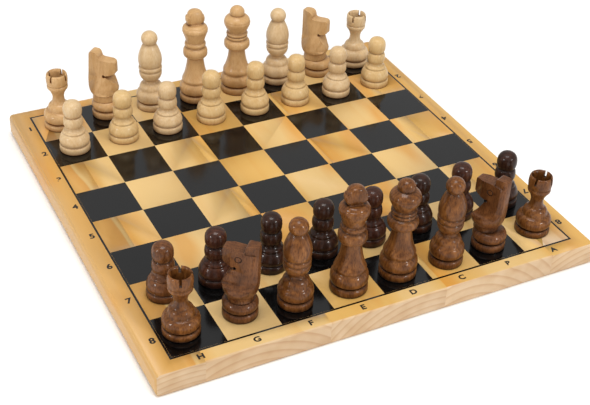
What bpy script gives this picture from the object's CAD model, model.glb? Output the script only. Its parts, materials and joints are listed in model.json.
import bpy, bmesh, json, math, random
from mathutils import Matrix, Vector

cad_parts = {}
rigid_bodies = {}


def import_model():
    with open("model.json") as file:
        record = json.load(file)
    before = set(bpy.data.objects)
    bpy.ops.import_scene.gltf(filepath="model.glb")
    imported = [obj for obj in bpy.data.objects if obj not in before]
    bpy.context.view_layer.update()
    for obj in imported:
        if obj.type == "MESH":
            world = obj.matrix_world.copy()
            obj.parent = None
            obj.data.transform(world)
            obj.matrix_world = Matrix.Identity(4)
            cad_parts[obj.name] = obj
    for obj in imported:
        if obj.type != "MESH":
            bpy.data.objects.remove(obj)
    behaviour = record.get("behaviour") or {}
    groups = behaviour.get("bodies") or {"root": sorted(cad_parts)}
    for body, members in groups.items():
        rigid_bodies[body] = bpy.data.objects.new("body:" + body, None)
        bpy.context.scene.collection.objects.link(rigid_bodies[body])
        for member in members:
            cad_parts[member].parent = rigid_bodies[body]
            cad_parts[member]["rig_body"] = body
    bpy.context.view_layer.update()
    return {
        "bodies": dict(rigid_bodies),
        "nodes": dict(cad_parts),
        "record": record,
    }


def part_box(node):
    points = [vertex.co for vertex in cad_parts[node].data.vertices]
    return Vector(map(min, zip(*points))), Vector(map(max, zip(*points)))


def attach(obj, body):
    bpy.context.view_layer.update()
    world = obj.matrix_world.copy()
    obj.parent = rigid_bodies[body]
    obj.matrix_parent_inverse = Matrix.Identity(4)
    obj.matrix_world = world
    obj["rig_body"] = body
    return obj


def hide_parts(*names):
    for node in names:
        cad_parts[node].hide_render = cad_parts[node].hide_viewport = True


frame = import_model()
solids = frame["nodes"]

# Camera: a studio camera on a stand, nine tenths of a metre from the middle of the board and
# held slightly askew, looking down on the board from beyond its near left corner.
BOARD_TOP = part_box("middle_stave")[1].z
AZIMUTH, ELEVATION, ROLL = math.radians(-28.07), math.radians(35.72), math.radians(2.83)
LENS_AT = (-0.33851, -0.65358, 0.50385 + BOARD_TOP)  # metres
LENS_MM, SENSOR_MM = 71.62, 36
ahead = Vector((-math.sin(AZIMUTH) * math.cos(ELEVATION), math.cos(AZIMUTH) * math.cos(ELEVATION),
                -math.sin(ELEVATION)))
level = Vector((math.cos(AZIMUTH), math.sin(AZIMUTH), 0))
upright = level.cross(ahead)
right = math.cos(ROLL) * level + math.sin(ROLL) * upright
up = math.cos(ROLL) * upright - math.sin(ROLL) * level
camera = bpy.data.objects.new("camera", bpy.data.cameras.new("camera"))
bpy.context.scene.collection.objects.link(camera)
camera.data.lens, camera.data.sensor_width = LENS_MM, SENSOR_MM
camera.matrix_world = (Matrix.Translation(LENS_AT)
                       @ Matrix((right, up, -ahead)).transposed().to_4x4())
bpy.context.scene.camera = camera

# Floor: a wide sheet of matt white paper, faintly cloudy, and lit from all round so that it
# stays almost without shadow.
FLOOR_RADIUS = 6.0


def linear(hex_colour):
    """A screen colour such as #C08040 as the linear colour that a shader works in."""
    parts = [int(hex_colour[i:i + 2], 16) / 255 for i in (1, 3, 5)]
    return [p / 12.92 if p <= 0.04045 else ((p + 0.055) / 1.055) ** 2.4 for p in parts] + [1]


def add(tree, kind, into=None, stops=None, **settings):
    """A node with its settings, a colour ramp's stops, and what goes into its sockets."""
    node = tree.nodes.new("ShaderNode" + kind)
    for name, value in settings.items():
        setattr(node, name, value)
    if stops:
        marks = node.color_ramp.elements
        while len(marks) < len(stops):
            marks.new(0.5)
        for mark, (place, colour) in zip(marks, stops):
            mark.position = place
        # a moved stop can change the stops' order, so the colours come after all the places
        for mark, (place, colour) in zip(marks, stops):
            mark.color = linear(colour)
    for socket, value in (into or {}).items():
        if isinstance(value, bpy.types.NodeSocket):
            tree.links.new(value, node.inputs[socket])
        else:
            node.inputs[socket].default_value = value
    return node


def finish_named(name, **surface):
    """A new material, its node tree and its surface shader with the shader's own values set."""
    finish = bpy.data.materials.new(name)
    finish.use_nodes = True
    shader = finish.node_tree.nodes["Principled BSDF"]
    for socket, value in surface.items():
        shader.inputs[socket.replace("_", " ")].default_value = value
    return finish, finish.node_tree, shader


sheet = bmesh.new()
bmesh.ops.create_circle(sheet, cap_ends=True, segments=64, radius=FLOOR_RADIUS)
sheet_mesh = bpy.data.meshes.new("floor")
sheet.to_mesh(sheet_mesh)
sheet.free()
floor = bpy.data.objects.new("floor", sheet_mesh)
bpy.context.scene.collection.objects.link(floor)
paper, tree, shader = finish_named("matt_paper", Roughness=0.9)
fibre = add(tree, "TexNoise", {"Vector": add(tree, "TexCoord").outputs["Object"], "Scale": 40.0})
shade = add(tree, "ValToRGB", {"Fac": fibre.outputs["Fac"]}, [(0.3, "#F4F4F3"), (0.7, "#F8F8F7")])
tree.links.new(shade.outputs["Color"], shader.inputs["Base Color"])
floor.data.materials.append(paper)

# Light: a white room, two softboxes beside the camera that give each round of the polished
# men its separate highlights, and a wide one over it.
bpy.context.scene.view_settings.view_transform = "Standard"
ROOM_STRENGTH = 0.64
SOFTBOX_DISTANCE = 1.5  # metres from the middle of the board
SOFTBOXES = {  # degrees right of and above the camera, watts, and size in metres
    "softbox_left": (-48, -3, 5.0, 0.22),
    "softbox_right": (45, -3, 6.0, 0.22),
    "softbox_over": (0, 46, 13.0, 0.7),
}
room = bpy.data.worlds.new("white_room")
bpy.context.scene.world = room
room.use_nodes = True
room.node_tree.nodes["Background"].inputs["Color"].default_value = (1, 1, 1, 1)
room.node_tree.nodes["Background"].inputs["Strength"].default_value = ROOM_STRENGTH
for name, (across, over, watts, size) in SOFTBOXES.items():
    across, over = math.radians(across), math.radians(over)
    towards = (math.sin(across) * math.cos(over) * right + math.sin(over) * up
               - math.cos(across) * math.cos(over) * ahead)
    lamp = bpy.data.lights.new(name, "AREA")
    lamp.shape, lamp.size, lamp.energy = "SQUARE", size, watts
    box = bpy.data.objects.new(name, lamp)
    bpy.context.scene.collection.objects.link(box)
    box.location = towards * SOFTBOX_DISTANCE
    box.rotation_euler = (-towards).to_track_quat("-Z", "Y").to_euler()

# Board: five pine staves, long grain running away from the near edge, glued edge to edge,
# planed, rounded along the sides, stained yellow and varnished. The near and far edges are
# bare end grain, where the growth rings show as arcs.
SAME_CORNER = 2e-6  # corners of a solid's triangles this close, in metres, are one corner
WAVE_MM = 314       # a wave texture of scale 1 repeats after this distance
SWAY = 0.024        # how far a stave's streaks can wander from side to side, in metres
PALE, YELLOW, TAN, ORANGE = "#D3B074", "#CFA55D", "#C3944F", "#CB9040"
STAVES = {  # tones from left to right, the tree's middle, ring width in millimetres, seed
    "left_edge_stave": ([(0, "#C69C60"), (0.45, TAN), (0.6, "#D09E58"), (0.8, "#CC954E"),
                         (0.84, PALE), (0.9, PALE), (1, TAN)], (-0.150, -0.075), 4.6, 0.31),
    "left_stave": ([(0, YELLOW), (0.12, PALE), (0.6, "#D4B278"), (0.9, PALE), (1, YELLOW)],
                   (-0.100, -0.065), 6.4, 1.57),
    "middle_stave": ([(0, YELLOW), (0.25, "#D0A358"), (0.5, YELLOW), (0.62, PALE), (0.85, PALE),
                      (1, YELLOW)], (0.030, -0.070), 5.6, 2.83),
    "right_stave": ([(0, ORANGE), (0.18, YELLOW), (0.45, PALE), (0.8, PALE), (1, YELLOW)],
                    (0.060, -0.050), 6.8, 4.09),
    "right_edge_stave": ([(0, YELLOW), (0.5, TAN), (1, YELLOW)], (0.170, -0.060), 5.2, 5.35),
}


def dress(name, material, sharp_from=32):
    """A smoothly shaded copy of a solid, which stands for it and moves with its body. Faces
    that meet at more than sharp_from degrees should keep a crisp edge, but many such edges
    are missed, because the solid's custom normals are still there when they are marked."""
    mesh = solids[name].data.copy()
    mesh.name = name + "_shaped"
    merged = bmesh.new()
    merged.from_mesh(mesh)
    bmesh.ops.remove_doubles(merged, verts=merged.verts, dist=SAME_CORNER)
    merged.to_mesh(mesh)
    merged.free()
    mesh.materials.clear()
    mesh.materials.append(material)
    mesh.shade_smooth()
    mesh.set_sharp_from_angle(angle=math.radians(sharp_from))
    piece = bpy.data.objects.new(name + "_shaped", mesh)
    bpy.context.scene.collection.objects.link(piece)
    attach(piece, solids[name]["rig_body"])
    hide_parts(name)


def varnished_pine(name, left, width, across, pith, ring_mm, seed):
    """Stained and varnished pine, with a soft sheen over its figure: across lists the tones
    from a stave's left edge to its right one, and pith is the tree's middle in x and z, in
    metres."""
    finish, tree, shader = finish_named(name, Roughness=0.36, IOR=1.45, Coat_Weight=0.04,
                                        Coat_Roughness=0.10, Specular_IOR_Level=0.3)
    place = add(tree, "TexCoord").outputs["Object"]
    # the figure wanders from side to side along the stave's length
    long_way = add(tree, "Mapping", {"Vector": place, "Location": (seed, seed, 0),
                                     "Scale": (1, 0.16, 1)})
    wander = add(tree, "TexNoise", {"Vector": long_way.outputs["Vector"], "Scale": 60.0,
                                    "Detail": 2.0, "Roughness": 0.5})
    apart = add(tree, "SeparateXYZ", {"Vector": place})
    shifted = add(tree, "Math", {0: wander.outputs["Fac"], 1: SWAY, 2: apart.outputs["X"]},
                  operation="MULTIPLY_ADD")
    share = add(tree, "MapRange", {"Value": shifted.outputs["Value"],
                                   "From Min": left + SWAY / 2,
                                   "From Max": left + width + SWAY / 2})
    plain = add(tree, "ValToRGB", {"Fac": share.outputs["Result"]}, across)
    # patches of orange heartwood that surface for a few centimetres
    patches = add(tree, "Mapping", {"Vector": place, "Location": (seed * 3, seed, 0),
                                    "Scale": (1, 0.30, 1)})
    heart = add(tree, "TexNoise", {"Vector": patches.outputs["Vector"], "Scale": 34.0,
                                   "Detail": 1.5})
    heart_share = add(tree, "MapRange", {"Value": heart.outputs["Fac"], "From Min": 0.555,
                                         "From Max": 0.66, "To Min": 0.0, "To Max": 0.65})
    ground = add(tree, "MixRGB", {"Fac": heart_share.outputs["Result"],
                                  "Color1": plain.outputs["Color"], "Color2": linear(ORANGE)})
    # growth rings: pale early wood that darkens to a narrow orange late wood
    log = add(tree, "Mapping", {"Vector": place, "Location": (-pith[0], seed, -pith[1]),
                                "Scale": (1, 0.07, 1)})
    rings = add(tree, "TexWave", {"Vector": log.outputs["Vector"], "Scale": WAVE_MM / ring_mm,
                                  "Distortion": 9.0, "Detail": 2.0, "Detail Scale": 0.10},
                wave_type="RINGS", rings_direction="Y", wave_profile="SAW")
    late = add(tree, "ValToRGB", {"Fac": rings.outputs["Fac"]},
               [(0.0, "#FFFFFF"), (0.5, "#FFF8EC"), (0.9, "#F6D6A0"), (1.0, "#FDF2DF")])
    strength = add(tree, "MapRange", {"Value": wander.outputs["Fac"], "From Min": 0.38,
                                      "From Max": 0.66, "To Min": 0.04, "To Max": 0.30})
    top = add(tree, "MixRGB", {"Fac": strength.outputs["Result"],
                               "Color1": ground.outputs["Color"],
                               "Color2": late.outputs["Color"]}, blend_type="MULTIPLY")
    # bare end grain is paler and pinker, with the same rings as arcs
    end_ground = add(tree, "ValToRGB", {"Fac": wander.outputs["Fac"]},
                     [(0.3, "#CFB594"), (0.7, "#C0A07A")])
    end_late = add(tree, "ValToRGB", {"Fac": rings.outputs["Fac"]},
                   [(0.0, "#FFFFFF"), (0.6, "#FAF2E8"), (0.92, "#DDBD98"), (1.0, "#F6ECDC")])
    end = add(tree, "MixRGB", {"Fac": 0.5, "Color1": end_ground.outputs["Color"],
                               "Color2": end_late.outputs["Color"]}, blend_type="MULTIPLY")
    facing = add(tree, "SeparateXYZ", {"Vector": add(tree, "NewGeometry").outputs["Normal"]})
    sawn = add(tree, "Math", {0: facing.outputs["Y"]}, operation="ABSOLUTE")
    edge = add(tree, "ValToRGB", {"Fac": sawn.outputs["Value"]},
               [(0.45, "#000000"), (0.75, "#FFFFFF")])
    colour = add(tree, "MixRGB", {"Fac": edge.outputs["Color"], "Color1": top.outputs["Color"],
                                  "Color2": end.outputs["Color"]})
    tree.links.new(colour.outputs["Color"], shader.inputs["Base Color"])
    raised = add(tree, "Bump", {"Strength": 0.03, "Distance": 0.0004,
                                "Height": rings.outputs["Fac"]})
    tree.links.new(raised.outputs["Normal"], shader.inputs["Normal"])
    return finish


for name, (across, pith, ring_mm, seed) in STAVES.items():
    low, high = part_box(name)
    pine = varnished_pine("varnished_pine_" + name, low.x, high.x - low.x, across, pith,
                          ring_mm, seed)
    dress(name, pine)


# Black squares and the line round them: gloss lacquer laid on the wood and rubbed level
# with it, so it mirrors the men softly.
def gloss_lacquer(name, roughness):
    """A thin black film, never quite as smooth in one place as in the next."""
    finish, tree, shader = finish_named(name, IOR=1.48)
    place = add(tree, "TexCoord").outputs["Object"]
    cloud = add(tree, "TexNoise", {"Vector": place, "Scale": 25.0, "Detail": 3.0})
    black = add(tree, "ValToRGB", {"Fac": cloud.outputs["Fac"]},
                [(0.3, "#040404"), (0.7, "#080808")])
    tree.links.new(black.outputs["Color"], shader.inputs["Base Color"])
    rough = add(tree, "MapRange", {"Value": cloud.outputs["Fac"], "From Min": 0.3,
                                   "From Max": 0.7, "To Min": roughness * 0.8,
                                   "To Max": roughness * 1.3})
    tree.links.new(rough.outputs["Result"], shader.inputs["Roughness"])
    # the wood's grain telegraphs faintly through the film
    long_way = add(tree, "Mapping", {"Vector": place, "Scale": (1, 0.06, 1)})
    grain = add(tree, "TexNoise", {"Vector": long_way.outputs["Vector"], "Scale": 500.0,
                                   "Detail": 2.0})
    raised = add(tree, "Bump", {"Strength": 0.06, "Distance": 0.0002,
                                "Height": grain.outputs["Fac"]})
    tree.links.new(raised.outputs["Normal"], shader.inputs["Normal"])
    return finish


lacquer = gloss_lacquer("gloss_black_lacquer", 0.13)
for name in ("black_squares", "frame_line"):
    solids[name].data.materials.clear()
    solids[name].data.materials.append(lacquer)

# Numbers and letters: printed in black on the border with a soft ink, a file letter or rank
# number beside each row, upright from the near side on the near and left borders and from
# the far side on the other two.
SQUARE = 0.038
NEAR_ROW, SIDE_COLUMN = 0.1582, 0.1575     # the rows' distances from the middle of the board
LETTER_SIZE, DIGIT_SIZE = 0.0071, 0.0083
LETTERFORM = (0.96, 0.88, 1, 1)            # the plain letters are made narrower and lower
BOLDER = 0.0003                            # added all round each stroke; B and 3 lose a bowl to it
INK_HEIGHT = 0.00003                       # the ink stands this far above the wood
# the printing isn't quite in step with the squares: the letters stand a little wider apart
# and to the left, and each number beyond the middle of its rank, from rank 8 to rank 1
LETTER_SPREAD, LETTERS_LEFT = 1.012, 0.0004
NUMBERS_BEYOND_MM = [0.1, 4.2, 5.0, 3.7, 3.7, 3.5, 2.9, 3.3]
ink = gloss_lacquer("printing_ink", 0.4)


def printed(character, x, y, turned_round):
    """One flat character as a mesh, centred on its place on the border."""
    curve = bpy.data.curves.new("print", "FONT")
    curve.body, curve.offset = character, BOLDER
    curve.size = DIGIT_SIZE if character.isdigit() else LETTER_SIZE
    curve.align_x, curve.align_y = "CENTER", "CENTER"
    flat = bpy.data.objects.new("print", curve)
    bpy.context.scene.collection.objects.link(flat)
    bpy.context.view_layer.update()
    mesh = bpy.data.meshes.new_from_object(flat)
    bpy.data.objects.remove(flat)
    xs, ys = [v.co.x for v in mesh.vertices], [v.co.y for v in mesh.vertices]
    mesh.transform(Matrix.Translation((x, y, BOARD_TOP + INK_HEIGHT))
                   @ Matrix.Rotation(math.pi if turned_round else 0, 4, "Z")
                   @ Matrix.Diagonal(LETTERFORM)
                   @ Matrix.Translation((-(min(xs) + max(xs)) / 2, -(min(ys) + max(ys)) / 2, 0)))
    return mesh


for border, far in (("near", False), ("far", True), ("left", False), ("right", True)):
    joined = bmesh.new()
    for i in range(8):
        along = (i - 3.5) * SQUARE
        if border in ("near", "far"):
            glyph = printed("HGFEDCBA"[i], along * LETTER_SPREAD - LETTERS_LEFT,
                            NEAR_ROW if far else -NEAR_ROW, far)
        else:
            glyph = printed(str(8 - i), SIDE_COLUMN if far else -SIDE_COLUMN,
                            along + NUMBERS_BEYOND_MM[i] / 1000, far)
        joined.from_mesh(glyph)
    mesh = bpy.data.meshes.new("characters_" + border)
    joined.to_mesh(mesh)
    joined.free()
    mesh.materials.append(ink)
    piece = bpy.data.objects.new("characters_" + border, mesh)
    bpy.context.scene.collection.objects.link(piece)
    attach(piece, "board")

# Men: turned from straight-grained blanks, sanded and dipped in clear lacquer. The dark
# ones are a streaky brown hardwood, the light ones a plain pale maple.
CARVED_SHARP, TURNED_SHARP = 20, 38  # degrees from which an edge should stay crisp
WOODS = {
    # clouding is how far cloudy tones hide the rings
    "dark": {"material": "lacquered_brown_hardwood_", "slot": "dark_wood", "ring_mm": 2.4,
             "clouding": 0.87, "pore": "#94765E", "groove": "#30190F",
             "surface": {"Specular_IOR_Level": 0.16, "Coat_Weight": 0.28,
                         "Coat_Roughness": 0.05, "Roughness": 0.40}},
    "light": {"material": "lacquered_maple_", "slot": "light_wood", "ring_mm": 2.2,
              "clouding": 0.90, "pore": "#F0E6D8", "groove": "#94683A",
              "surface": {"Specular_IOR_Level": 0.25, "Coat_Weight": 0.18,
                          "Coat_Roughness": 0.12, "Roughness": 0.42}},
}
# the pale, middle and dark tone of each blank, and the men made from it
BLANKS = {
    "warm_brown": ("#8E5B2C", "#6E421C", "#4E2C12",
                   "dark_king dark_queen dark_bishop dark_rook"),
    "mid_brown": ("#7E4F2B", "#643C1E", "#482912",
                  "dark_knight dark_pawn_h7"),
    "red_brown": ("#56301C", "#402216", "#2C160E",
                  "dark_pawn_g7 dark_pawn_d7 dark_pawn_b7"),
    "near_black": ("#422416", "#301A10", "#20110A",
                   "dark_pawn_f7 dark_pawn_e7 dark_pawn_c7 dark_pawn_a7"),
    "tan": ("#CCA777", "#C29B6A", "#B58C5A",
            "light_king light_queen light_knight light_rook_h1"),
    "cream": ("#D4BA93", "#CDB086", "#C4A478",
              "light_bishop light_rook_a1 light_pawn_h2 light_pawn_f2 light_pawn_b2"),
    "straw": ("#D6B888", "#CEAE7A", "#C4A06A",
              "light_pawn_g2 light_pawn_e2 light_pawn_d2 light_pawn_c2 light_pawn_a2"),
}


def turned_wood(name, middle, seed, tones, wood):
    """Lacquered wood cut through its rings: tones are the pale, middle and dark of a ring,
    and middle is where the man's axis stands."""
    dice = random.Random(seed)
    finish, tree, shader = finish_named(name, IOR=1.45, **wood["surface"])
    place = add(tree, "TexCoord").outputs["Object"]
    centred = add(tree, "Mapping", {"Vector": place, "Location": (-middle[0], -middle[1], 0)})
    # the blank was cut some way from the pith, and never quite along the grain, so that the
    # rings run round the bellies as contours on one side and up the man on the other
    blank = add(tree, "Mapping", {
        "Vector": centred.outputs["Vector"],
        "Rotation": (dice.uniform(-0.16, 0.16), dice.uniform(-0.16, 0.16),
                     dice.choice((2.05, -1.09)) + dice.uniform(-0.5, 0.5)),
        "Location": (dice.uniform(0.030, 0.060), 0, dice.uniform(-0.5, 0.5)),
        "Scale": (1, 1, 0.30)})
    rings = add(tree, "TexWave", {"Vector": blank.outputs["Vector"],
                                  "Scale": WAVE_MM / wood["ring_mm"], "Distortion": 7.0,
                                  "Detail": 2.0, "Detail Scale": 0.30},
                wave_type="RINGS", rings_direction="Z", wave_profile="SIN")
    # clouds about seven millimetres across
    clouds = add(tree, "TexNoise", {"Vector": blank.outputs["Vector"], "Scale": 150.0,
                                    "Detail": 4.0, "Roughness": 0.55})
    both = add(tree, "MixRGB", {"Fac": wood["clouding"], "Color1": rings.outputs["Fac"],
                                "Color2": clouds.outputs["Fac"]})
    pale, mid, deep = tones
    ground = add(tree, "ValToRGB", {"Fac": both.outputs["Color"]},
                 [(0.24, deep), (0.5, mid), (0.76, pale)])
    # pores and fine streaks are drawn most of a millimetre wide so that they show
    pores = add(tree, "TexNoise", {"Vector": blank.outputs["Vector"], "Scale": 1100.0,
                                   "Detail": 2.0})
    streak = add(tree, "ValToRGB", {"Fac": pores.outputs["Fac"]},
                 [(0.34, wood["pore"]), (0.54, "#FFFFFF")])
    grained = add(tree, "MixRGB", {"Fac": 0.6, "Color1": ground.outputs["Color"],
                                   "Color2": streak.outputs["Color"]}, blend_type="MULTIPLY")
    # lacquer and dust gather in the turned grooves
    hollow = add(tree, "AmbientOcclusion", {"Distance": 0.005}, samples=6)
    groove = add(tree, "ValToRGB", {"Fac": hollow.outputs["AO"]},
                 [(0.32, wood["groove"]), (0.92, "#FFFFFF")])
    colour = add(tree, "MixRGB", {"Fac": 1.0, "Color1": grained.outputs["Color"],
                                  "Color2": groove.outputs["Color"]}, blend_type="MULTIPLY")
    tree.links.new(colour.outputs["Color"], shader.inputs["Base Color"])
    # edges eased by sanding, and the pores not quite filled
    eased = add(tree, "Bevel", {"Radius": 0.0004}, samples=4)
    raised = add(tree, "Bump", {"Strength": 0.08, "Distance": 0.0003,
                                "Height": pores.outputs["Fac"],
                                "Normal": eased.outputs["Normal"]})
    tree.links.new(raised.outputs["Normal"], shader.inputs["Normal"])
    return finish


for body in frame["bodies"]:
    if body in ("board", "root"):
        continue
    members = frame["record"]["behaviour"]["bodies"][body]
    wood = WOODS[body.split("_")[0]]
    seed = 17 * sum(map(ord, body))
    low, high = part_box(members[0])
    middle = ((low.x + high.x) / 2, (low.y + high.y) / 2)
    tones = next(blank[:3] for blank in BLANKS.values()
                 if any(body.startswith(man) for man in blank[3].split()))
    for k, name in enumerate(members):
        turned = turned_wood(wood["material"] + name, middle, seed + k, tones, wood)
        dress(name, turned, CARVED_SHARP if "_head" in name else TURNED_SHARP)
